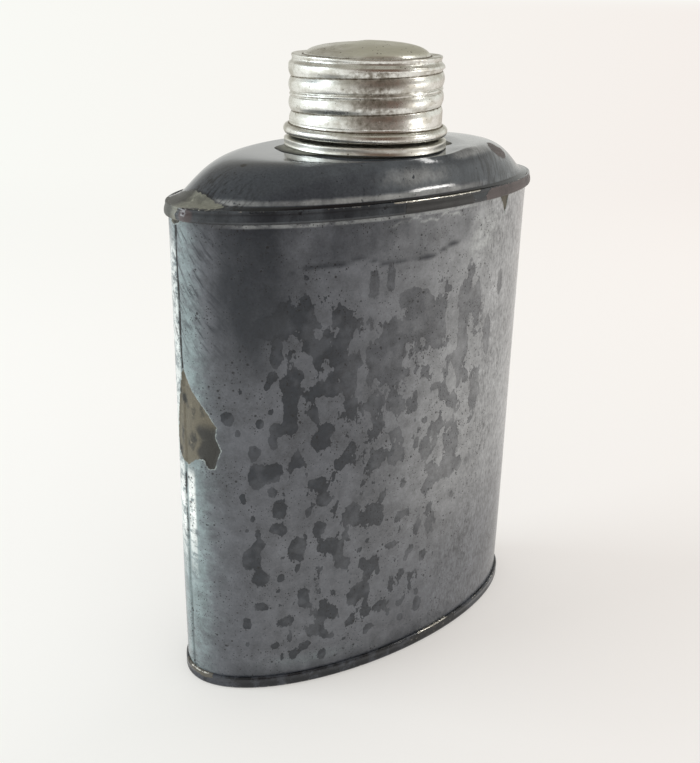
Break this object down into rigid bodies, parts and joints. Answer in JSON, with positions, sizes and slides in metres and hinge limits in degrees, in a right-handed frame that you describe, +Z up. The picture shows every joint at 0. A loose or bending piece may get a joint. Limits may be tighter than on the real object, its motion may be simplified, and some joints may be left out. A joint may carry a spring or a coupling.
{
  "type": "pocket flask",
  "caption": "Oval pocket flask of mottled enamelled sheet steel with a domed shoulder, a folded base and a threaded aluminium screw cap that turns, rises and lifts off.",
  "frame": {"origin": "on the surface the flask stands on, under the middle of its base, on the neck's axis", "axes": "+Z up along the neck's axis, X along the wide side, Y through the thickness; the body's lap seam is at the narrow end at -X"},
  "size_m": [0.104, 0.0482, 0.1522],
  "materials": {
    "enamel": "glossy vitreous enamel, dark slate mottled on lighter grey, chipped at the edges",
    "bare_aluminium": "spun and worn, dull silver with small dents",
    "solder": "dull soft solder, grey with an olive tarnish",
    "cork": "pressed cork"
  },
  "bodies": {
    "flask": {"body_shell": "enamel", "shoulder": "enamel", "base_pan": "enamel", "neck_collar": "bare_aluminium", "neck_solder": "solder"},
    "liner": {"cap_liner": "cork"},
    "cap": {"screw_cap": "bare_aluminium"}
  },
  "joints": [
    {"name": "cap_rise", "type": "slide", "parent": "flask", "child": "liner", "axis": [0, 0, 1], "range_m": [0, 0.0232]},
    {"name": "cap_turn", "type": "hinge", "parent": "liner", "child": "cap", "pos_m": [0, 0, 0.1469], "axis": [0, 0, 1], "range_deg": [0, 2160]}
  ],
  "couplings": [
    {"joint": "cap_rise", "follows": "cap_turn", "m_per_rad": 0.00061275}
  ]
}
